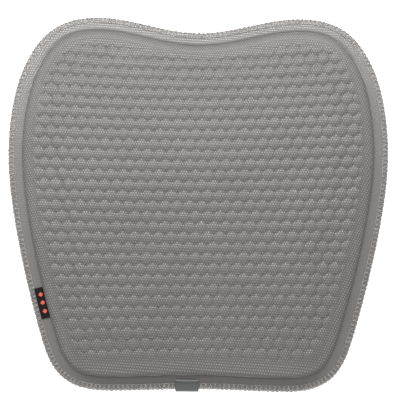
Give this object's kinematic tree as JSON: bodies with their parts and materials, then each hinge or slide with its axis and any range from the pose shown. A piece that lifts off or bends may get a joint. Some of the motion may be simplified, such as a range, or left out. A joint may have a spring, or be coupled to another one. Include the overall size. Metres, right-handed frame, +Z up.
{
  "type": "seat cushion",
  "caption": "Lobed air-mesh seat cushion with an embossed bubble face, foam core, overlocked edge, side label and front tab; lies flat on a chair seat.",
  "frame": {"origin": "middle of the bounding box, on the plane the underside rests on", "axes": "+Z up out of the seat face, +Y towards the lobed back edge with the notch, +X across the seat; the front tab is at -Y and the side label at -X"},
  "size_m": [0.45, 0.45, 0.03],
  "materials": {
    "air_mesh": "warm grey open air-mesh knit, matt",
    "wadding": "off-white needled wadding",
    "comfort_foam": "cream open-cell foam",
    "support_foam": "grey firm open-cell foam",
    "base_cloth": "dark grey plain-weave polyester",
    "grip": "satin silicone print",
    "edge_thread": "light grey textured polyester thread",
    "label": "black woven label with plain orange marks",
    "tab": "grey-green satin tape",
    "tab_thread": "grey polyester thread"
  },
  "bodies": {
    "root": {"top_cover": "air_mesh", "bubble_wadding": "wadding", "comfort_foam": "comfort_foam", "support_foam": "support_foam", "base_cloth": "base_cloth", "grip_coating": "grip", "needle_thread": "edge_thread", "upper_looper_thread": "edge_thread", "lower_looper_thread": "edge_thread", "side_label": "label", "front_tab": "tab", "front_tab_thread": "tab_thread"}
  },
  "joints": []
}
